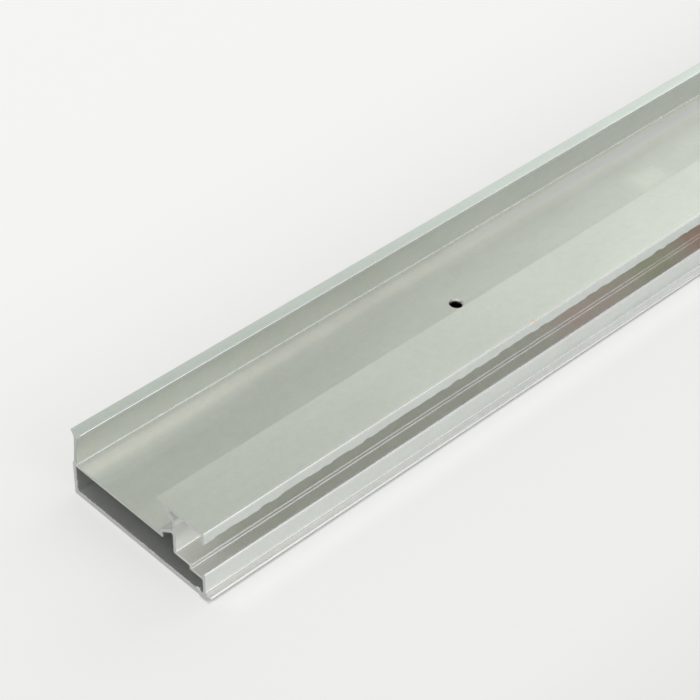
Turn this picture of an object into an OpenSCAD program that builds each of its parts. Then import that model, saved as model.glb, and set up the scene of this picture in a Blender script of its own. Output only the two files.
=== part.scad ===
// Aluminium extrusion profile: a shallow hollow body with an open channel on top,
// one flared fin on the left and a hooked fin with an overhanging flange on the right.
// The section lies in X and Z, the stock runs along Y, the underside is at Z = 0.

/* [Overall] */
// Length of the sawn piece
length = 1000; // [600:50:3000]
// Width from the left wall to the nose of the base lip
width = 70; // [66:0.5:80]
// Height from the underside to the fin tops
height = 30; // [25:0.5:40]

/* [Walls] */
// Thickness of the base plate
base_t = 1.9; // [1.4:0.1:2.2]
// Thickness of the upright walls, ledges, web and flange
wall_t = 1.25; // [1.1:0.05:1.4]
// Radius in the inner corners of the section
corner_r = 0.8; // [0.5:0.1:1]
// Radius on the free edges of the section
edge_r = 0.45; // [0.3:0.05:0.55]

/* [Channel] */
// Depth of the channel from the fin tops to its floor
channel_h = 15.45; // [14:0.05:16]
// Height of the turned-down lip on the flange
drop_h = 4.7; // [3:0.1:8]

/* [Left fin] */
// Step from the left wall in to the fin
fin_step = 0.7; // [0.4:0.1:1]
// Thickness of the fin
fin_t = 1.6; // [1.2:0.1:1.8]
// Lean of the fin towards the channel
fin_lean = 5.5; // [0:0.5:7]
// Width of the flared head
head_w = 5.1; // [4.9:0.1:5.6]
// Distance of the flared head from the left wall's face
head_in = 0.4; // [0.2:0.1:0.6]
// Radius of the flare under the head
flare_r = 4.2; // [4:0.1:4.6]
// Distance from the fin top down to where the flare starts
flare_h = 4.2; // [4:0.1:4.5]

/* [Hooked fin] */
// Distance from the fin's right face to the front face
fin_to_front = 14.2; // [13.5:0.1:15]
// Distance from the flange's top down to where the fin starts to bend
bend_h = 6.9; // [6.5:0.1:7.2]
// Radius inside the bend
bend_r = 3.4; // [3:0.1:4]
// Angle through which the fin bends
bend_a = 58; // [56:1:60]
// Radius in the sharp corner between the hooked fin and the flange
joint_r = 0.9; // [0.5:0.1:0.9]
// Height of the riser between the channel floor and the sloping web
web_h = 1.75; // [1.5:0.05:2.5]
// Slope of the web between the channel floor and the hooked fin
web_a = 34; // [30:1:36]
// Width of the pocket under the sloping web
pocket_w = 5.4; // [5:0.1:6]

/* [Front ledges] */
// Height of the upper ledge and of the front wall's rim
upper_z = 11.5; // [11.2:0.1:12]
// Width of the upper ledge from the hooked fin to its step
upper_w = 7.8; // [7:0.1:8.4]
// Depth of the lower ledge between the upper one and the rim
ledge_step = 1.7; // [1.5:0.1:2]
// Width of the flat left on the rounded rim
rim_flat = 0.1; // [0.05:0.05:0.3]

/* [Base lip] */
// Reach of the base lip past the front face
lip_out = 2.6; // [2.2:0.1:3]
// Height of the front face's foot
foot_z = 3.4; // [3:0.1:3.8]
// Radius of the lip's nose
nose_r = 0.8; // [0.6:0.05:0.9]
// Height of the nose's centre
nose_z = 2.1; // [1.9:0.1:2.3]
// Length of the bevel under the lip
bevel_l = 5; // [4:0.1:6]

/* [Screw holes] */
// Diameter of the holes in the channel floor
hole_d = 5; // [3.2:0.1:6.5]
// Distance of the hole row from the left wall's face
hole_in = 29.2; // [15:0.1:35]
// Distance of the first and last hole from the sawn ends
hole_end = 155; // [40:5:200]
// Number of holes in the row
hole_n = 4; // [2:1:8]

/* [Hidden] */
$fn = 96;
// Overlap that keeps arcs and the lines they run into from only touching
blend = 0.002;
front_x = width - lip_out;
front_in = front_x - wall_t;
fin2_x = front_x - fin_to_front;
fin2_in = fin2_x - wall_t;
step_x = fin2_x + upper_w;
step_in = step_x - wall_t;
riser_in = fin2_in - pocket_w;
riser_x = riser_in - wall_t;
floor_top = height - channel_h;
floor_z = floor_top - wall_t;
lower_z = upper_z - ledge_step;
rim_r = (wall_t - rim_flat) / 2;
flange_z = height - wall_t;
drop_z = height - drop_h;
bend_z = height - bend_h;
web_z = floor_top + web_h;
web_rise = tan(web_a);
web_drop = wall_t / cos(web_a);
web_top = web_z + web_rise * (fin2_in - riser_x);
head_x = head_in + head_w;
flare_z = height - flare_h;
stem_x = fin_step + tan(fin_lean) * (flare_z - floor_top);
lean_out = [cos(fin_lean), -sin(fin_lean)];
hook_run = -tan(bend_a);
hook_in = [fin2_in, bend_z + bend_r * tan(bend_a / 2)];
hook_out = [fin2_x, bend_z + (bend_r + wall_t) * tan(bend_a / 2)];
hook_joint = [fin2_x + hook_run * (flange_z - hook_out[1]), flange_z];
hook_tip = [fin2_in + hook_run * (height - hook_in[1]), height];
nose = [width - nose_r, nose_z];
touch_r = nose_r - blend;
low_run = nose - [width - bevel_l, 0];
low_a = atan2(low_run[1], low_run[0]) - asin(touch_r / norm(low_run));
high_run = nose - [front_x, foot_z];
high_a = atan2(high_run[1], high_run[0]) + asin(touch_r / norm(high_run));
hole_pitch = (length - 2 * hole_end) / (hole_n - 1);

// Space between an arc and the two lines it blends into, at a corner between two directions.
// It reaches a little behind the corner, so that it overlaps what it is added to or cut from.
module corner(at, from, to, r) {
    half = (to - from) / 2;
    reach = r / tan(half);
    inward = [cos(from + half), sin(from + half)];
    middle = at + r / sin(half) * inward;
    difference() {
        polygon([
            at - r / 2 * inward,
            at + reach * [cos(from), sin(from)],
            middle,
            at + reach * [cos(to), sin(to)]
        ]);
        translate(middle) circle(r + blend);
    }
}

// Outer outline with sharp corners, from the underside round by the front, flange and channel
module outline() {
    polygon([
        [0, 0],
        [width - bevel_l, 0],
        nose + touch_r * [sin(low_a), -cos(low_a)],
        nose,
        nose + touch_r * [-sin(high_a), cos(high_a)],
        [front_x, foot_z],
        [front_x, upper_z],
        [front_in, upper_z],
        [front_in, lower_z],
        [step_x, lower_z],
        [step_x, upper_z],
        [fin2_x, upper_z],
        hook_out,
        hook_joint,
        [front_in, flange_z],
        [front_in, drop_z],
        [front_x, drop_z],
        [front_x, height],
        hook_tip,
        hook_in,
        [fin2_in, web_top],
        [riser_x, web_z],
        [riser_x, floor_top],
        [fin_step + fin_t, floor_top],
        [stem_x + fin_t, flare_z],
        [head_x, flare_z],
        [head_x, height],
        [head_in, height],
        [head_in, flare_z],
        [stem_x, flare_z],
        [fin_step, floor_top],
        [0, floor_top]
    ]);
    translate(nose) circle(nose_r);
}

// Metal added in the inner corners of the outline
module fillets() {
    corner([front_x, foot_z], high_a, 90, edge_r);
    corner([front_in, lower_z], 90, 180, edge_r);
    corner([step_x, lower_z], 0, 90, edge_r);
    corner([fin2_x, upper_z], 0, 90, edge_r);
    corner(hook_joint, bend_a - 90, 0, joint_r);
    corner([front_in, flange_z], 180, 270, edge_r);
    corner(hook_in, 90 + bend_a, 270, bend_r);
    corner([fin2_in, web_top], 90, 180 + web_a, corner_r);
    corner([riser_x, floor_top], 90, 180, corner_r);
    corner([fin_step + fin_t, floor_top], 0, 90 - fin_lean, corner_r);
}

// Metal taken off the outer corners of the outline
module roundings() {
    corner([0, 0], 0, 90, edge_r);
    corner([front_x, upper_z], 180, 270, rim_r);
    corner([front_in, upper_z], 270, 360, rim_r);
    corner([step_x, upper_z], 180, 270, edge_r);
    corner(hook_out, 90 + bend_a, 270, bend_r + wall_t);
    corner([front_in, drop_z], 0, 90, edge_r);
    corner([front_x, drop_z], 90, 180, edge_r);
    corner([front_x, height], 180, 270, edge_r);
    corner(hook_tip, 270 + bend_a, 360, edge_r);
    corner([head_x, height], 180, 270, edge_r);
    corner([head_in, height], 270, 360, edge_r);
}

// Hollows under the head of the left fin, running smoothly into the fin's faces
module flares() {
    translate([stem_x, flare_z] - flare_r * lean_out) circle(flare_r + blend);
    translate([stem_x + fin_t, flare_z] + flare_r * lean_out) circle(flare_r + blend);
}

// Long chamber inside the body, with the pocket under the sloping web
module chamber() {
    difference() {
        polygon([
            [wall_t, base_t],
            [front_in, base_t],
            [front_in, lower_z - wall_t],
            [step_in, lower_z - wall_t],
            [step_in, upper_z - wall_t],
            [fin2_in, upper_z - wall_t],
            [fin2_in, web_top - web_drop],
            [riser_in, web_z + web_rise * wall_t - web_drop],
            [riser_in, floor_z],
            [wall_t, floor_z]
        ]);
        corner([wall_t, base_t], 0, 90, edge_r);
        corner([front_in, base_t], 90, 180, corner_r);
        corner([front_in, lower_z - wall_t], 180, 270, corner_r);
        corner([fin2_in, web_top - web_drop], 180 + web_a, 270, corner_r);
        corner([wall_t, floor_z], 270, 360, edge_r);
    }
}

module section() {
    difference() {
        union() {
            outline();
            fillets();
        }
        roundings();
        flares();
        chamber();
    }
}

module screw_holes() {
    for (i = [0 : hole_n - 1])
        translate([hole_in, -length / 2 + hole_end + i * hole_pitch, floor_z - wall_t])
            cylinder(h = 3 * wall_t, d = hole_d);
}

module profile() {
    color("#b4bab2")
        translate([-width / 2, 0, 0])
            difference() {
                rotate([90, 0, 0])
                    linear_extrude(length, center = true) section();
                screw_holes();
            }
}

profile();
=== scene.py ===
"""Sawn length of an aluminium extrusion profile, dressed for its photograph.

Metres, in the row frame: X across the section, Y along the stock, Z up from the underside.
The section is drawn in millimetres from its left lower corner, as a drawing would give it.
"""
import math

import bmesh
import bpy
from mathutils import Matrix, Vector


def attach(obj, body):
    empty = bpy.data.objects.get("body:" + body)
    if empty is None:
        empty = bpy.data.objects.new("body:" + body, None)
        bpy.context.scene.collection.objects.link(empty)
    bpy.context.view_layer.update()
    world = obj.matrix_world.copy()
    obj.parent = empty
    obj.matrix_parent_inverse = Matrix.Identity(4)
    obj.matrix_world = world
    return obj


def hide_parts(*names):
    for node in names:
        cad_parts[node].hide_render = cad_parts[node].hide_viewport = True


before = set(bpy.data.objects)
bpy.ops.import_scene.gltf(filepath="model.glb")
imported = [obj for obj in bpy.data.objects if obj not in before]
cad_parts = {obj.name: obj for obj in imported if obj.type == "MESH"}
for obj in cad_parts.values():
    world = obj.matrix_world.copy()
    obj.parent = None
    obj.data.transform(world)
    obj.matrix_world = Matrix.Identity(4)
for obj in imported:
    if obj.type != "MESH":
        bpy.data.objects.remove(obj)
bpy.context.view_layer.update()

MM = 0.001

# Sizes of the solid, in millimetres and radians
WIDTH, HEIGHT, LENGTH = 70.0, 30.0, 1000.0
BASE_T, WALL_T, CORNER_R, EDGE_R = 1.9, 1.25, 0.8, 0.45
CHANNEL_H, DROP_H = 15.45, 4.7
FIN_STEP, FIN_T, FIN_LEAN = 0.7, 1.6, math.radians(5.5)
HEAD_W, HEAD_IN, FLARE_R, FLARE_H = 5.1, 0.4, 4.2, 4.2
FIN_TO_FRONT, BEND_H, BEND_R, BEND_A, JOINT_R = 14.2, 6.9, 3.4, math.radians(58), 0.9
WEB_H, WEB_A, POCKET_W = 1.75, math.radians(34), 5.4
UPPER_Z, UPPER_W, LEDGE_STEP, RIM_FLAT = 11.5, 7.8, 1.7, 0.1
LIP_OUT, FOOT_Z, NOSE_R, NOSE_Z, BEVEL_L = 2.6, 3.4, 0.8, 2.1, 5.0
HOLE_D, HOLE_IN, HOLE_END, HOLE_N = 5.0, 29.2, 155.0, 4

# Edges not rounded as in the solid: ledge step, flange, hook's tip, web and wall corners, left fin's heel
STEP_R, FLANGE_R, TIP_R, CRISP_R, HEEL_R = 0.3, 0.6, 0.2, 0.12, 0.1
# Deburred hole edge: its depth, how much of that lies under the floor, and its widening and lean with height
DEBURR, DEBURR_SUNK, DEBURR_WIDER, DEBURR_LEAN = 0.6, 0.9, 0.14, (-0.1, 0.5)
# Broken lower edge of the flange's lip: its depth and the length of one tooth
LIP_WAVE, WAVE_LENGTH = 0.75, 3.5
# Saw burr round the chamber's mouth: its thickness, its depth inside the cut, its mesh and its one chip
BURR, BURR_IN, BURR_POINTS, BURR_SIDES = 0.28, 0.3, 420, 6
CHIP_AT, CHIP_REACH, CHIP_FULL, CHIP_Z = 63.3, 1.3, 0.2, 0.6
# Slices along the stock, most of them in the stretch that the photograph shows
SLICES, FINE_SHARE, FINE_LENGTH = 380, 0.7, 350.0
# Metres within which two points are one, and the angle past which an edge stays sharp
MERGE, SHARP = 2e-6, math.radians(28)
# Radians of turn for which a corner's arc gets its full number of steps
FULL_TURN = 1.6

FRONT_X = WIDTH - LIP_OUT
FRONT_IN = FRONT_X - WALL_T
FIN2_X = FRONT_X - FIN_TO_FRONT
FIN2_IN = FIN2_X - WALL_T
STEP_X = FIN2_X + UPPER_W
STEP_IN = STEP_X - WALL_T
RISER_IN = FIN2_IN - POCKET_W
RISER_X = RISER_IN - WALL_T
FLOOR_TOP = HEIGHT - CHANNEL_H
FLOOR_Z = FLOOR_TOP - WALL_T
LOWER_Z = UPPER_Z - LEDGE_STEP
RIM_R = (WALL_T - RIM_FLAT) / 2
FLANGE_Z = HEIGHT - WALL_T
DROP_Z = HEIGHT - DROP_H
MIDDLE = WIDTH / 2

# Named inputs of the extrusion's tree
PROFILE_INPUTS = {
    "Length": LENGTH * MM, "Slices": SLICES, "Fine Slices": FINE_SHARE, "Fine Length": FINE_LENGTH * MM,
    "Hole Diameter": HOLE_D * MM, "Hole Count": HOLE_N, "First Hole": HOLE_END * MM,
    "Hole Across": (HOLE_IN - MIDDLE) * MM, "Hole Depth": (FLOOR_TOP - DEBURR_SUNK * DEBURR) * MM,
    "Deburr Depth": DEBURR * MM, "Lip Edge": DROP_Z * MM,
    "Lip Inside": (FRONT_IN - WALL_T / 4 - MIDDLE) * MM, "Lip Wave": LIP_WAVE * MM,
    "Wave Length": WAVE_LENGTH * MM, "Burr": BURR * MM, "Chip Across": (CHIP_AT - MIDDLE) * MM,
}


# The section

def arc(centre, r, start, end, steps, painted_highlight=0.0):
    """Points on an arc between two angles, both ends included; the third value is the strength of the painted
    highlight on its middle.
    """
    points = []
    for i in range(steps + 1):
        a = start + (end - start) * i / steps
        lit = painted_highlight if 0 < i < steps else 0.0
        points.append((centre[0] + r * math.cos(a), centre[1] + r * math.sin(a), lit))
    return points


def rounded(corners, steps=5):
    """A closed outline from (x, z, r, painted highlight) corners, each made an arc; a list is an arc already.
    """
    ends = [(c[0][:2], c[-1][:2]) if isinstance(c, list) else (c[:2], c[:2]) for c in corners]
    loop = []
    for i, corner in enumerate(corners):
        if isinstance(corner, list):
            loop += corner
            continue
        x, z, r, *painted_highlight = corner
        if not r:
            loop.append((x, z, 0.0))
            continue
        at = Vector((x, z))
        back = (Vector(ends[i - 1][1]) - at).normalized()
        on = (Vector(ends[(i + 1) % len(ends)][0]) - at).normalized()
        half = back.angle(on) / 2
        centre = at + (back + on).normalized() * (r / math.sin(half))
        first = at + back * (r / math.tan(half)) - centre
        last = at + on * (r / math.tan(half)) - centre
        start = math.atan2(first.y, first.x)
        turn = math.remainder(math.atan2(last.y, last.x) - start, math.tau)
        loop += arc(centre, r, start, start + turn, max(3, round(steps * abs(turn) / FULL_TURN)), *painted_highlight)
    return loop


def cross(a, direction_a, b, direction_b):
    """Where two lines meet, each given by a point and an angle."""
    da = Vector((math.cos(direction_a), math.sin(direction_a)))
    db = Vector((math.cos(direction_b), math.sin(direction_b)))
    t = (Vector(b) - Vector(a)).cross(db) / da.cross(db)
    return Vector(a) + da * t


def base_lip():
    """The sharp corner that the base lip's nose rounds, between the bevel and the slope above it."""
    nose = Vector((WIDTH - NOSE_R, NOSE_Z))
    bevel, foot = Vector((WIDTH - BEVEL_L, 0)), Vector((FRONT_X, FOOT_Z))
    low, high = nose - bevel, nose - foot
    low_a = math.atan2(low.y, low.x) - math.asin(NOSE_R / low.length)
    high_a = math.atan2(high.y, high.x) + math.asin(NOSE_R / high.length)
    return cross(bevel, low_a, foot, high_a)


def head_flares():
    """The two hollows under the left fin's head, right and left, as arcs that run into the fin's faces."""
    flare_z = HEIGHT - FLARE_H
    stem_x = FIN_STEP + math.tan(FIN_LEAN) * (flare_z - FLOOR_TOP)
    out = Vector((math.cos(FIN_LEAN), -math.sin(FIN_LEAN)))
    right = Vector((stem_x + FIN_T, flare_z)) + out * FLARE_R
    left = Vector((stem_x, flare_z)) - out * FLARE_R
    right_end = math.acos((HEAD_IN + HEAD_W - right.x) / FLARE_R)
    left_end = math.acos((HEAD_IN - left.x) / FLARE_R)
    steps = 14
    return (arc(right, FLARE_R, math.pi - FIN_LEAN, right_end, steps),
            arc(left, FLARE_R, left_end, -FIN_LEAN, steps))


def outer_outline():
    """The section's outside, from the underside round by the front, the flange and the channel."""
    lip = base_lip()
    right_flare, left_flare = head_flares()
    run = -math.tan(BEND_A)
    bend_z = HEIGHT - BEND_H
    in_z = bend_z + BEND_R * math.tan(BEND_A / 2)
    out_z = bend_z + (BEND_R + WALL_T) * math.tan(BEND_A / 2)
    web_z = FLOOR_TOP + WEB_H
    web_top = web_z + math.tan(WEB_A) * (FIN2_IN - RISER_X)
    return rounded([
        # Each corner: x, z, radius, and, where given, the strength of the painted highlight along its
        # rounding.
        (0, 0, EDGE_R), (WIDTH - BEVEL_L, 0, 0), (lip.x, lip.y, NOSE_R, 0.8), (FRONT_X, FOOT_Z, EDGE_R, 0.8),
        (FRONT_X, UPPER_Z, RIM_R, 1.0), (FRONT_IN, UPPER_Z, RIM_R, 0.7), (FRONT_IN, LOWER_Z, EDGE_R),
        (STEP_X, LOWER_Z, STEP_R, 0.8), (STEP_X, UPPER_Z, STEP_R, 1.0),
        (FIN2_X, UPPER_Z, EDGE_R, 0.5), (FIN2_X, out_z, BEND_R + WALL_T),
        (FIN2_X + run * (FLANGE_Z - out_z), FLANGE_Z, JOINT_R),
        (FRONT_IN, FLANGE_Z, EDGE_R), (FRONT_IN, DROP_Z, EDGE_R), (FRONT_X, DROP_Z, EDGE_R),
        (FRONT_X, HEIGHT, FLANGE_R, 0.9), (FIN2_IN + run * (HEIGHT - in_z), HEIGHT, TIP_R),
        (FIN2_IN, in_z, BEND_R), (FIN2_IN, web_top, CORNER_R), (RISER_X, web_z, CRISP_R),
        (RISER_X, FLOOR_TOP, CORNER_R), (FIN_STEP + FIN_T, FLOOR_TOP, EDGE_R, 0.6), right_flare,
        (HEAD_IN + HEAD_W, HEIGHT, EDGE_R, 1.0), (HEAD_IN, HEIGHT, EDGE_R), left_flare,
        (FIN_STEP, FLOOR_TOP, HEEL_R), (0, FLOOR_TOP, CRISP_R),
    ])


def chamber_outline():
    """The long chamber with its pocket under the sloping web."""
    web_z = FLOOR_TOP + WEB_H
    rise, drop = math.tan(WEB_A), WALL_T / math.cos(WEB_A)
    return rounded([
        (WALL_T, BASE_T, EDGE_R), (FRONT_IN, BASE_T, CORNER_R), (FRONT_IN, LOWER_Z - WALL_T, CORNER_R),
        (STEP_IN, LOWER_Z - WALL_T, 0), (STEP_IN, UPPER_Z - WALL_T, 0),
        (FIN2_IN, UPPER_Z - WALL_T, 0), (FIN2_IN, web_z + rise * (FIN2_IN - RISER_X) - drop, CORNER_R),
        (RISER_IN, web_z + rise * WALL_T - drop, 0), (RISER_IN, FLOOR_Z, 0), (WALL_T, FLOOR_Z, EDGE_R),
    ], 4)


def section_object(name):
    """The two outlines as closed edge loops in the XY plane, heights along -Y, in metres, centred across."""
    mesh = bpy.data.meshes.new(name)
    points, edges, painted_highlight, inner = [], [], [], []
    for hollow, loop in enumerate((outer_outline(), chamber_outline())):
        first = len(points)
        points += [((x - MIDDLE) * MM, -z * MM, 0) for x, z, e in loop]
        painted_highlight += [e for x, z, e in loop]
        inner += [float(hollow)] * len(loop)
        edges += [(first + i, first + (i + 1) % len(loop)) for i in range(len(loop))]
    mesh.from_pydata(points, edges, [])
    # Each point's painted highlight strength goes into the attribute edge.
    mesh.attributes.new("edge", "FLOAT", "POINT").data.foreach_set("value", painted_highlight)
    mesh.attributes.new("hollow", "FLOAT", "POINT").data.foreach_set("value", inner)
    piece = bpy.data.objects.new(name, mesh)
    bpy.context.scene.collection.objects.link(piece)
    return piece


# Node helpers

def node(tree, kind, inputs=None, **settings):
    """A node with its settings and its socket values; a socket value may be another node's output."""
    made = tree.nodes.new(kind)
    for key, value in settings.items():
        setattr(made, key, value)
    for key, value in (inputs or {}).items():
        socket = made.inputs[key]
        if isinstance(value, bpy.types.NodeSocket):
            tree.links.new(value, socket)
        else:
            socket.default_value = value
    return made


def shape(tree, kind, inputs, **settings):
    """The geometry that a Geometry Nodes node gives."""
    return node(tree, "GeometryNode" + kind, inputs, **settings).outputs[0]


def maths(tree, operation, a, b=0.0):
    """One step of arithmetic on two numbers."""
    return node(tree, "ShaderNodeMath", {0: a, 1: b}, operation=operation).outputs[0]


def vectors(tree, operation, a, b):
    """One step of arithmetic on two vectors."""
    return node(tree, "ShaderNodeVectorMath", {0: a, 1: b}, operation=operation).outputs[0]


def weighted(tree, base, parts):
    """A base value plus every part times its weight."""
    total = base
    for part, weight in parts:
        total = maths(tree, "ADD", total, maths(tree, "MULTIPLY", part, weight))
    return total


def ranged(tree, value, low, high, to_low=0.0, to_high=1.0, kind="LINEAR"):
    """A value's place between two limits, spread over two others and held at their ends."""
    limits = {0: value, 1: low, 2: high, 3: to_low, 4: to_high}
    return node(tree, "ShaderNodeMapRange", limits, interpolation_type=kind).outputs[0]


def spot(tree, **axes):
    """A point from its X, Y and Z."""
    return node(tree, "ShaderNodeCombineXYZ", axes).outputs[0]


def axes_of(tree, place):
    """The X, Y and Z of a point."""
    return node(tree, "ShaderNodeSeparateXYZ", {0: place}).outputs


def joined(tree, parts):
    """Several geometries as one."""
    join = tree.nodes.new("GeometryNodeJoinGeometry")
    for part in parts:
        tree.links.new(part, join.inputs[0])
    return join.outputs[0]


# The extrusion

STAND = (math.radians(-90), 0, 0)


def swept_walls(tree, into, loops, start, end, near):
    """The section's loops swept along the stock."""
    path = shape(tree, "CurvePrimitiveLine", {"Start": start, "End": end})
    slices = shape(tree, "ResampleCurve", {"Curve": path, "Count": into["Slices"]})
    share = node(tree, "GeometryNodeSplineParameter").outputs["Factor"]
    fine = ranged(tree, share, 0.0, into["Fine Slices"], 0.0, into["Fine Length"])
    rest = maths(tree, "SUBTRACT", into["Length"], into["Fine Length"])
    coarse = ranged(tree, share, into["Fine Slices"], 1.0, 0.0, rest)
    slid = spot(tree, Y=maths(tree, "ADD", near, maths(tree, "ADD", fine, coarse)))
    slices = shape(tree, "SetPosition", {"Geometry": slices, "Position": slid})
    return shape(tree, "CurveToMesh", {"Curve": slices, "Profile Curve": loops})


def sawn_ends(tree, loops, ends):
    """The flat metal that closes each end, with the chamber left open."""
    caps = []
    for shift in ends:
        fill = shape(tree, "FillCurve", {"Curve": loops})
        caps.append(shape(tree, "Transform", {"Geometry": fill, "Rotation": STAND, "Translation": shift}))
    return caps


def broken_lip(tree, into, body):
    """The lower edge of the flange's lip, pushed up and down tooth by tooth."""
    at = axes_of(tree, node(tree, "GeometryNodeInputPosition").outputs[0])
    off = maths(tree, "ABSOLUTE", maths(tree, "SUBTRACT", at["Z"], into["Lip Edge"]))
    edge = maths(tree, "LESS_THAN", off, EDGE_R * 1.02 * MM)
    chosen = maths(tree, "MULTIPLY", edge, maths(tree, "GREATER_THAN", at["X"], into["Lip Inside"]))
    along = maths(tree, "DIVIDE", at["Y"], into["Wave Length"])
    grain = {"W": along, "Scale": 0.9, "Detail": 2.0, "Roughness": 0.7}
    drift = node(tree, "ShaderNodeTexNoise", grain, noise_dimensions="1D").outputs[0]
    tooth = maths(tree, "FLOOR", weighted(tree, along, [(drift, 1.5)]))
    chips = node(tree, "ShaderNodeTexWhiteNoise", {"W": tooth}, noise_dimensions="1D").outputs["Value"]
    ripple = maths(tree, "SUBTRACT", weighted(tree, chips, [(drift, 0.5)]), 0.95)
    lift = spot(tree, Z=maths(tree, "MULTIPLY", ripple, into["Lip Wave"]))
    return shape(tree, "SetPosition", {"Geometry": body, "Selection": chosen, "Offset": lift})


def drills(tree, into, near):
    """The row of drills that cut the screw holes, each flared above its middle by the deburring."""
    span = maths(tree, "SUBTRACT", into["Length"], maths(tree, "MULTIPLY", into["First Hole"], 2.0))
    pitch = maths(tree, "DIVIDE", span, maths(tree, "SUBTRACT", into["Hole Count"], 1.0))
    first = maths(tree, "ADD", near, into["First Hole"])
    place = spot(tree, X=into["Hole Across"], Y=first, Z=into["Hole Depth"])
    row = shape(tree, "MeshLine", {
        "Count": into["Hole Count"], "Start Location": place, "Offset": spot(tree, Y=pitch)})
    drill = shape(tree, "MeshCylinder", {
        "Vertices": 64, "Side Segments": 8, "Radius": maths(tree, "MULTIPLY", into["Hole Diameter"], 0.5),
        "Depth": maths(tree, "MULTIPLY", into["Deburr Depth"], 8.0)})
    at = node(tree, "GeometryNodeInputPosition").outputs[0]
    flare = maths(tree, "DIVIDE", axes_of(tree, at)["Z"], into["Deburr Depth"])
    flare = maths(tree, "MAXIMUM", flare, 0.0)
    wider = vectors(tree, "MULTIPLY", at, (DEBURR_WIDER, DEBURR_WIDER, 0))
    aslant = vectors(tree, "ADD", wider, (DEBURR_LEAN[0] * MM, DEBURR_LEAN[1] * MM, 0))
    spread = node(tree, "ShaderNodeVectorMath", {0: aslant, "Scale": flare}, operation="SCALE").outputs[0]
    drill = shape(tree, "SetPosition", {"Geometry": drill, "Offset": spread})
    row = shape(tree, "InstanceOnPoints", {"Points": row, "Instance": drill})
    return shape(tree, "RealizeInstances", {0: row})


def saw_burr(tree, into, start):
    """The lumpy burr that the saw left round the chamber's mouth, with a chip on its lower edge."""
    mouth = node(tree, "GeometryNodeInputNamedAttribute", {"Name": "hollow"}, data_type="FLOAT").outputs[0]
    rim = shape(tree, "SeparateGeometry", {0: into["Section"], 1: mouth}, domain="POINT")
    rim = shape(tree, "MeshToCurve", {0: rim})
    rim = shape(tree, "ResampleCurve", {"Curve": rim, "Count": BURR_POINTS})
    inward = vectors(tree, "ADD", start, (0, BURR_IN * MM, 0))
    rim = shape(tree, "Transform", {"Geometry": rim, "Rotation": STAND, "Translation": inward})

    place = node(tree, "GeometryNodeInputPosition").outputs[0]
    at = axes_of(tree, place)
    grain = {"Vector": place, "Scale": 420.0, "Detail": 2.0, "Roughness": 0.7}
    lumps = ranged(tree, node(tree, "ShaderNodeTexNoise", grain).outputs[0], 0.4, 0.78, 0.25, 1.0)
    off = maths(tree, "ABSOLUTE", maths(tree, "SUBTRACT", at["X"], into["Chip Across"]))
    chip = ranged(tree, off, CHIP_REACH * MM, CHIP_FULL * MM, kind="SMOOTHSTEP")
    chip = maths(tree, "MULTIPLY", chip, maths(tree, "LESS_THAN", at["Z"], (BASE_T + CHIP_Z) * MM))
    chip = maths(tree, "MULTIPLY", maths(tree, "MULTIPLY", chip, into["Burr"]), 2.0)
    thick = maths(tree, "ADD", maths(tree, "MULTIPLY", lumps, into["Burr"]), chip)
    rim = shape(tree, "StoreNamedAttribute", {"Geometry": rim, "Name": "thick", "Value": thick})
    rim = shape(tree, "SetPosition", {"Geometry": rim, "Offset": spot(tree, Y=chip)})

    ring = shape(tree, "CurvePrimitiveCircle", {"Resolution": BURR_SIDES, "Radius": 1.0})
    thick = node(tree, "GeometryNodeInputNamedAttribute", {"Name": "thick"}, data_type="FLOAT").outputs[0]
    burr = shape(tree, "CurveToMesh", {"Curve": rim, "Profile Curve": ring, "Scale": thick})
    # The burr gets a painted highlight of strength 0.4 and none of the chamber's painted shade.
    for name, value in (("hollow", 0.0), ("edge", 0.4)):
        burr = shape(tree, "StoreNamedAttribute", {"Geometry": burr, "Name": name, "Value": value})
    return burr


def extrusion_tree():
    """Section loops swept along the stock, closed at both sawn ends and drilled along the channel."""
    tree = bpy.data.node_groups.new("extruded_profile", "GeometryNodeTree")
    sockets = tree.interface
    sockets.new_socket("Section", in_out="INPUT", socket_type="NodeSocketGeometry")
    for name, value in PROFILE_INPUTS.items():
        kind = "NodeSocketInt" if isinstance(value, int) else "NodeSocketFloat"
        sockets.new_socket(name, in_out="INPUT", socket_type=kind)
    sockets.new_socket("Finish", in_out="INPUT", socket_type="NodeSocketMaterial")
    sockets.new_socket("Profile", in_out="OUTPUT", socket_type="NodeSocketGeometry")
    into = tree.nodes.new("NodeGroupInput").outputs
    near = maths(tree, "MULTIPLY", into["Length"], -0.5)
    far = maths(tree, "MULTIPLY", into["Length"], 0.5)
    start, end = spot(tree, Y=near), spot(tree, Y=far)

    loops = shape(tree, "MeshToCurve", {0: into["Section"]})
    walls = swept_walls(tree, into, loops, start, end, near)
    closed = joined(tree, [walls] + sawn_ends(tree, loops, (start, end)))
    closed = shape(tree, "MergeByDistance", {"Geometry": closed, "Distance": MERGE})
    body = broken_lip(tree, into, closed)
    holes = drills(tree, into, near)
    body = shape(tree, "MeshBoolean", {"Mesh 1": body, "Mesh 2": holes}, operation="DIFFERENCE")
    whole = joined(tree, (body, saw_burr(tree, into, start)))
    real = shape(tree, "RealizeInstances", {0: whole})
    painted = shape(tree, "SetMaterial", {"Geometry": real, "Material": into["Finish"]})
    tree.links.new(painted, tree.nodes.new("NodeGroupOutput").inputs[0])
    return tree


# The metal

def mask(tree, value, low, high, soft):
    """1 where a value lies between two limits, with soft ends."""
    up = ranged(tree, value, low - soft, low + soft, kind="SMOOTHSTEP")
    down = ranged(tree, value, high + soft, high - soft, kind="SMOOTHSTEP")
    return maths(tree, "MULTIPLY", up, down)


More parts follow.
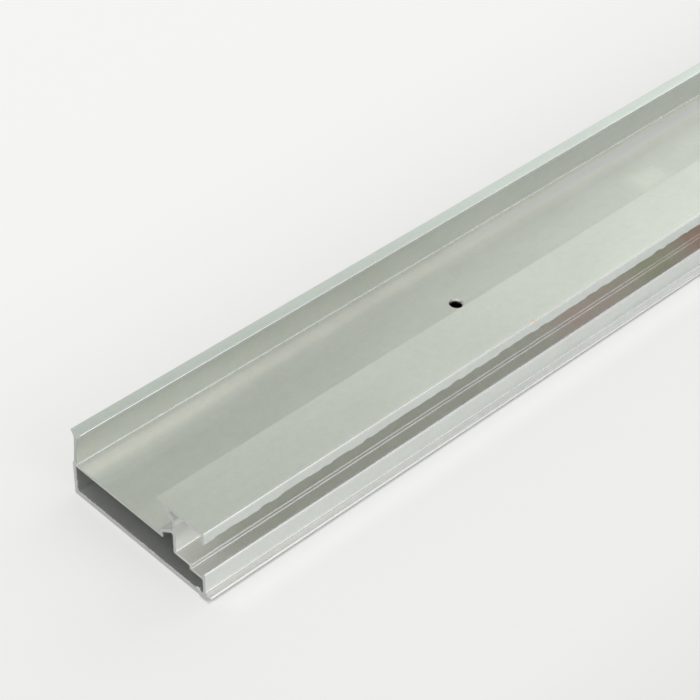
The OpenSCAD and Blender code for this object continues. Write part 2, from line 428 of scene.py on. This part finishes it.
def noise(tree, where, scale, detail=2.0, rough=0.55):
    """Noise about zero, in -0.5..0.5, with its own scale on each axis."""
    spread = vectors(tree, "MULTIPLY", where, scale)
    grain = {"Vector": spread, "Scale": 1.0, "Detail": detail, "Roughness": rough}
    return maths(tree, "SUBTRACT", node(tree, "ShaderNodeTexNoise", grain).outputs[0], 0.5)


def zone(tree, at, limits):
    """1 inside a box given by axis as (low, high, soft) in millimetres, 0 outside it."""
    inside = None
    for axis, (low, high, soft) in limits.items():
        band = mask(tree, at[axis], low * MM, high * MM, soft * MM)
        inside = band if inside is None else maths(tree, "MULTIPLY", inside, band)
    return inside


def tinted(tree, colour, amount, shade):
    """A colour multiplied by a shade, as far as the amount says."""
    if not isinstance(shade, bpy.types.NodeSocket):
        shade = (*shade, 1)
    layers = {"Factor": amount, "A": colour, "B": shade}
    return node(tree, "ShaderNodeMix", layers, data_type="RGBA", blend_type="MULTIPLY").outputs["Result"]


def face(level):
    """The limits that pick out a flat face at a level."""
    return (level - 0.1, level + 0.1, 0.05)


METAL = (0.775, 0.79, 0.765)
# The edge tint is a painted highlight on rounded edges, and the tint inside the chamber is painted shade.
SAWN_SHADE, CHAMBER_PAINTED_SHADE, EDGE_PAINTED_HIGHLIGHT, BRIGHTEST = (0.84,) * 3, (0.88, 0.88, 0.89), (1.22, 1.2, 1.24), 0.96
SAWN_DEPTH = 0.02

FLOOR, TOP, FRONT = {"Z": face(FLOOR_TOP)}, {"Z": face(HEIGHT)}, {"X": face(FRONT_X - MIDDLE)}
FOOT = {"X": (32.8, 34.2, 0.2), "Z": (2.2, 3.4, 0.1)}
RECESS = {"X": (18, 31, 0.2), "Z": (9.7, 24, 0.1)}

# Lighter, darker and browner patches on the metal, several of them painted light and several painted shade: a
# shade, then where it lies in the row frame.
PATCHES = {
    "channel floor": ((1.005, 1.04, 0.965), {"X": (-20, 12, 4), **FLOOR}),
    "flange top": ((0.985, 1.025, 0.95), {"X": (6, 33, 1), **TOP}),
    "left fin's head": ((0.98, 1.045, 0.99), {"X": (-36, -28, 1), **TOP}),
    # Painted reflected light on the channel floor by the left fin: a broad glow, a bright streak and the
    # streak's far end.
    "painted light on the floor by the left fin": ((1.045, 1.045, 1.01), {"X": (-32, -22, 2), **FLOOR}),
    "painted streak of reflected light": ((1.17, 1.13, 1.135), {"X": (-31, -25.5, 2), **FLOOR}),
    "painted reflected light at the streak's far end": ((1.1, 1.1, 1.1), {"X": (-32, -22, 2), "Y": (-300, 640, 120), **FLOOR}),
    "middle of the floor": ((0.955, 0.955, 0.955), {"X": (-18, -2, 2), **FLOOR}),
    # Painted light: a pale oval on the channel floor.
    "oval of painted light on the floor": ((1.1, 1.1, 1.09), {"X": (-14, -4, 4), "Y": (-239, -224, 4), **FLOOR}),
    # Painted shade on the left fin's inner face, inside the channel.
    "painted shade on the left fin's inner face": ((0.853, 0.882, 0.85), {"X": (-34.5, -31, 0.2), "Z": (15.2, 27, 0.4)}),
    "front wall": ((0.978, 0.992, 0.985), {"Z": (3.8, 10.8, 0.2), **FRONT}),
    # Painted light on the base lip near the sawn end, and painted shade on it farther on.
    "painted light on the base lip near the end": ((1.22, 1.19, 1.17), {"Y": (-640, -400, 80), **FOOT}),
    "painted shade on the base lip farther on": ((0.87, 0.855, 0.84), {"Y": (-230, 640, 60), **FOOT}),
    "flange's lip": ((0.927, 0.956, 0.948), {"Z": (25, 29.5, 0.2), **FRONT}),
    # Painted shade on the riser of the step between the ledges.
    "painted shade on the step between the ledges": ((0.65, 0.65, 0.65), {"X": (25.96, 26.04, 0.03), "Z": (10.1, 11.2, 0.08)}),
    # Painted light on the ledges just inside the sawn end.
    "painted light on the ledges near the end": (
        (1.12, 1.11, 1.14), {"X": (18.4, 31.2, 0.1), "Z": (9.7, 11.6, 0.1), "Y": (-520, -486, 10)}),
    # Painted shade on the hooked fin's face under the flange, just inside the sawn end.
    "painted shade on the hooked fin near the end": (
        (0.91, 0.93, 0.94), {"X": (18, 19, 0.1), "Z": (12, 23, 0.4), "Y": (-520, -480, 10)}),
    "recess under the flange": ((1.055, 1.04, 1.015), RECESS),
    "brown stretch": ((1.04, 0.96, 0.97), {"Y": (-322, -285, 10), **RECESS}),
    "green stretch": ((0.91, 0.93, 0.83), {"Y": (-278, -258, 10), **RECESS}),
    "red stretch": ((0.93, 0.79, 0.76), {"Y": (-251, -178, 9), **RECESS}),
    # Painted light: a pale band across the flange top, level along the stock with the oval on the floor.
    "band of painted light on the flange": ((1.03, 1.03, 1.02), {"X": (12, 31, 2), "Y": (-237, -224, 2), **TOP}),
    "orange speck": (
        (1.05, 0.9, 0.75), {"X": (31, 32.6, 0.3), "Z": (29, 30.2, 0.3), "Y": (-346.5, -344.5, 0.5)}),
    # Painted light on the chamber floor just inside its open mouth.
    "painted light on the chamber floor at the mouth": (
        (1.27, 1.25, 1.24), {"X": (-33, 31, 1), "Z": (1.7, 2.1, 0.1), "Y": (-520, -493, 6)}),
}


def satin_aluminium():
    """Satin extruded aluminium with fine lengthwise die lines and rougher sawn ends."""
    finish = bpy.data.materials.new("satin_aluminium")
    finish.use_nodes = True
    tree = finish.node_tree
    sheen = tree.nodes["Principled BSDF"]
    dull = node(tree, "ShaderNodeBsdfPrincipled")
    where = node(tree, "ShaderNodeTexCoord").outputs["Object"]
    at = axes_of(tree, where)
    edge = node(tree, "ShaderNodeAttribute", attribute_name="edge").outputs["Fac"]
    hollow = node(tree, "ShaderNodeAttribute", attribute_name="hollow").outputs["Fac"]
    sawn = maths(tree, "GREATER_THAN", maths(tree, "ABSOLUTE", at["Y"]), (LENGTH / 2 - SAWN_DEPTH) * MM)
    lines = noise(tree, where, (2600, 9, 2600), 3.0, 0.6)
    bands = noise(tree, where, (260, 3, 260))
    grain = noise(tree, where, (900, 700, 900), 4.0, 0.65)
    clouds = noise(tree, where, (55, 28, 55), 3.0)
    mottle = noise(tree, where, (300, 220, 300), 2.0, 0.6)

    tone = weighted(tree, 1.0, [(grain, 0.09), (clouds, 0.1), (mottle, 0.08), (lines, 0.05)])
    colour = tinted(tree, (*METAL, 1), 1.0, tone)
    colour = tinted(tree, colour, sawn, SAWN_SHADE)
    for shade, limits in PATCHES.values():
        colour = tinted(tree, colour, zone(tree, at, limits), shade)
    # Painted highlights along the rounded edges, as strong as the edge attribute says.
    colour = tinted(tree, colour, edge, EDGE_PAINTED_HIGHLIGHT)
    # Painted shade on the chamber's inside walls, away from the sawn ends.
    inside = maths(tree, "MULTIPLY", hollow, maths(tree, "SUBTRACT", 1.0, sawn))
    colour = tinted(tree, colour, inside, CHAMBER_PAINTED_SHADE)
    colour = vectors(tree, "MINIMUM", colour, (BRIGHTEST,) * 3)
    rough = weighted(tree, 0.32, [(bands, 0.05), (grain, 0.1), (lines, 0.06), (sawn, 0.2), (edge, -0.12)])
    grit = {"Strength": 0.12, "Distance": 0.05 * MM, "Height": maths(tree, "ADD", lines, grain)}
    relief = node(tree, "ShaderNodeBump", grit).outputs[0]
    grooves = node(tree, "ShaderNodeTangent", direction_type="UV_MAP", uv_map="across").outputs[0]
    for shader in (sheen, dull):
        tree.links.new(colour, shader.inputs["Base Color"])
        shader.inputs["Metallic"].default_value = 1.0
        tree.links.new(relief, shader.inputs["Normal"])
    tree.links.new(rough, sheen.inputs["Roughness"])
    sheen.inputs["Anisotropic"].default_value = 0.6
    tree.links.new(grooves, sheen.inputs["Tangent"])
    dull.inputs["Roughness"].default_value = 0.8
    both = node(tree, "ShaderNodeMixShader", {0: 0.3, 1: sheen.outputs[0], 2: dull.outputs[0]})
    tree.links.new(both.outputs[0], tree.nodes["Material Output"].inputs["Surface"])
    return finish


def lay_across(body):
    """UVs that run across the die lines on every face, so that the sheen stretches the right way."""
    layer = body.loops.layers.uv.new("across")
    repeat = 10
    for side in body.faces:
        way = side.normal.cross(Vector((0, 1, 0)))
        end = way.length < 0.2
        way = Vector((1, 0, 0)) if end else way.normalized()
        for loop in side.loops:
            place = loop.vert.co
            loop[layer].uv = (way.dot(place) * repeat, (place.z if end else place.y) * repeat)


def profile_piece():
    """The whole sawn length as one plain mesh."""
    piece = section_object("profile_body")
    rule = piece.modifiers.new("extrusion", "NODES")
    rule.node_group = extrusion_tree()
    values = {**PROFILE_INPUTS, "Finish": satin_aluminium()}
    for item in rule.node_group.interface.items_tree:
        if item.in_out == "INPUT" and item.name in values:
            rule[item.identifier] = values[item.name]
    graph = bpy.context.evaluated_depsgraph_get()
    mesh = bpy.data.meshes.new_from_object(piece.evaluated_get(graph))
    # The cut for the holes leaves an empty slot in front of the finish.
    mesh.materials.pop(index=0)
    piece.modifiers.remove(rule)
    outlines = piece.data
    piece.data = mesh
    bpy.data.meshes.remove(outlines)
    body = bmesh.new()
    body.from_mesh(mesh)
    bmesh.ops.remove_doubles(body, verts=body.verts, dist=MERGE)
    bmesh.ops.recalc_face_normals(body, faces=body.faces)
    lay_across(body)
    body.to_mesh(mesh)
    body.free()
    mesh.shade_smooth()
    mesh.set_sharp_from_angle(angle=SHARP)
    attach(piece, "root")
    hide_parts("profile")
    return piece


# The studio

# Soft boxes round the stock: compass turn from +X, height in degrees, tightness, strength.
SOFT_LIGHTS = [
    (93, 26, 20, 2.515), (8, 26, 20, 3.326), (135, 14, 9, 0.723), (292, 45, 9, 1.355),
    (315, 60, 14, 0.305), (90, 55, 14, 0.297), (270, 12, 9, 1.19), (40, 22, 30, 0.311),
]
ROOM_LIGHT = 0.25

# The floor's painted fall-off of light across X, darker towards +X, as shares of the way between two places
# in metres
FADE_FROM, FADE_TO = -0.285, 0.165
FLOOR_LIGHT_FALLOFF = [
    (0.0, 0.964), (0.33, 0.955), (0.49, 0.927), (0.555, 0.911), (0.85, 0.9), (0.92, 0.895), (1.0, 0.852),
]
FLOOR_REACH, FLOOR_BLUE = 6.0, 0.982
# How much of the floor's own plain light the camera and the metal's mirror image see
SEEN, MIRRORED = 0.6, 0.22
# Stripes of floor: painted light beside the front, and painted shadow in the narrow gap under the base lip
BESIDE = {"X": (37, 44, 4), "Y": (-496, 500, 5)}
UNDER = {"X": (29.5, 34.4, 0.6), "Y": (-500.5, 500.5, 0.5)}
BESIDE_PAINTED_LIGHT, UNDER_LIP_PAINTED_SHADOW = (1.07,) * 3, (0.83,) * 3

# Camera: place in millimetres; turn from +Y, tilt and roll in degrees; focal length in the photo's pixels
CAMERA_AT = (393.598, -797.436, 506.563)
CAMERA_TURN = (-45.0824, 40.5673, -1.4981)
FOCAL_PX, PHOTO_PX, SENSOR = 2116.385, 700, 36.0


def pale_floor():
    """A pale floor material that keeps the stock's shadow and shows mostly its own plain light."""
    paper = bpy.data.materials.new("pale_floor")
    paper.use_nodes = True
    tree = paper.node_tree
    shade = tree.nodes["Principled BSDF"]
    at = axes_of(tree, node(tree, "ShaderNodeTexCoord").outputs["Object"])
    # Painted fall-off of light across the floor, darker towards +X.
    fade = node(tree, "ShaderNodeValToRGB", {0: ranged(tree, at["X"], FADE_FROM, FADE_TO)})
    fade.color_ramp.interpolation = "CARDINAL"
    marks = fade.color_ramp.elements
    for share, level in FLOOR_LIGHT_FALLOFF[1:-1]:
        marks.new(share)
    for mark, (share, level) in zip(marks, FLOOR_LIGHT_FALLOFF):
        mark.color = (level, level, level * FLOOR_BLUE, 1)
    under = zone(tree, at, UNDER)
    # Painted shadow darkens the floor under the base lip, where less of the floor's own light shows too.
    tree.links.new(tinted(tree, fade.outputs[0], under, UNDER_LIP_PAINTED_SHADOW), shade.inputs["Base Color"])
    shade.inputs["Roughness"].default_value = 0.9
    # Painted light lifts the floor beside the front.
    colour = tinted(tree, fade.outputs[0], zone(tree, at, BESIDE), BESIDE_PAINTED_LIGHT)
    glow = node(tree, "ShaderNodeEmission", {"Color": colour, "Strength": 1.0})
    path = node(tree, "ShaderNodeLightPath").outputs
    seen = weighted(tree, 0.0, [(path["Is Camera Ray"], SEEN), (path["Is Glossy Ray"], MIRRORED)])
    seen = maths(tree, "MULTIPLY", seen, maths(tree, "SUBTRACT", 1.0, under))
    mixed = node(tree, "ShaderNodeMixShader", {0: seen, 1: shade.outputs[0], 2: glow.outputs[0]})
    tree.links.new(mixed.outputs[0], tree.nodes["Material Output"].inputs["Surface"])
    return paper


def lay_floor():
    """The level floor that the stock lies on."""
    r = FLOOR_REACH
    mesh = bpy.data.meshes.new("floor")
    mesh.from_pydata([(-r, -r, 0), (r, -r, 0), (r, r, 0), (-r, r, 0)], [], [(0, 1, 2, 3)])
    mesh.materials.append(pale_floor())
    floor = bpy.data.objects.new("floor", mesh)
    bpy.context.scene.collection.objects.link(floor)


def light_studio():
    """Soft boxes and a little room light, all from the world."""
    world = bpy.data.worlds.new("studio")
    world.use_nodes = True
    tree = world.node_tree
    sky = node(tree, "ShaderNodeTexCoord").outputs["Generated"]
    boxes = []
    for turn, rise, tight, level in SOFT_LIGHTS:
        turn, rise = math.radians(turn), math.radians(rise)
        toward = (math.cos(turn) * math.cos(rise), math.sin(turn) * math.cos(rise), math.sin(rise))
        aim = node(tree, "ShaderNodeVectorMath", {0: sky, 1: toward}, operation="DOT_PRODUCT")
        off = maths(tree, "MULTIPLY", maths(tree, "SUBTRACT", aim.outputs["Value"], 1.0), tight)
        boxes.append((maths(tree, "EXPONENT", off), level))
    tree.links.new(weighted(tree, ROOM_LIGHT, boxes), tree.nodes["Background"].inputs["Color"])
    scene = bpy.context.scene
    scene.world = world
    scene.cycles.max_bounces = 24
    scene.cycles.glossy_bounces = 16


def set_camera():
    """The camera of the photograph."""
    scene = bpy.context.scene
    lens = bpy.data.cameras.new("camera")
    lens.sensor_width = SENSOR
    lens.lens = SENSOR * FOCAL_PX / PHOTO_PX
    lens.clip_start = 0.01
    camera = bpy.data.objects.new("camera", lens)
    scene.collection.objects.link(camera)
    yaw, pitch, roll = (math.radians(a) for a in CAMERA_TURN)
    ahead = Vector((math.sin(yaw) * math.cos(pitch), math.cos(yaw) * math.cos(pitch), -math.sin(pitch)))
    right = ahead.cross(Vector((0, 0, 1))).normalized()
    down = ahead.cross(right)
    across = right * math.cos(roll) + down * math.sin(roll)
    below = -right * math.sin(roll) + down * math.cos(roll)
    turned = Matrix((across, -below, -ahead)).transposed().to_4x4()
    turned.translation = Vector(CAMERA_AT) * MM
    camera.matrix_world = turned
    scene.camera = camera
    scene.view_settings.view_transform = "Standard"


profile_piece()
lay_floor()
light_studio()
set_camera()
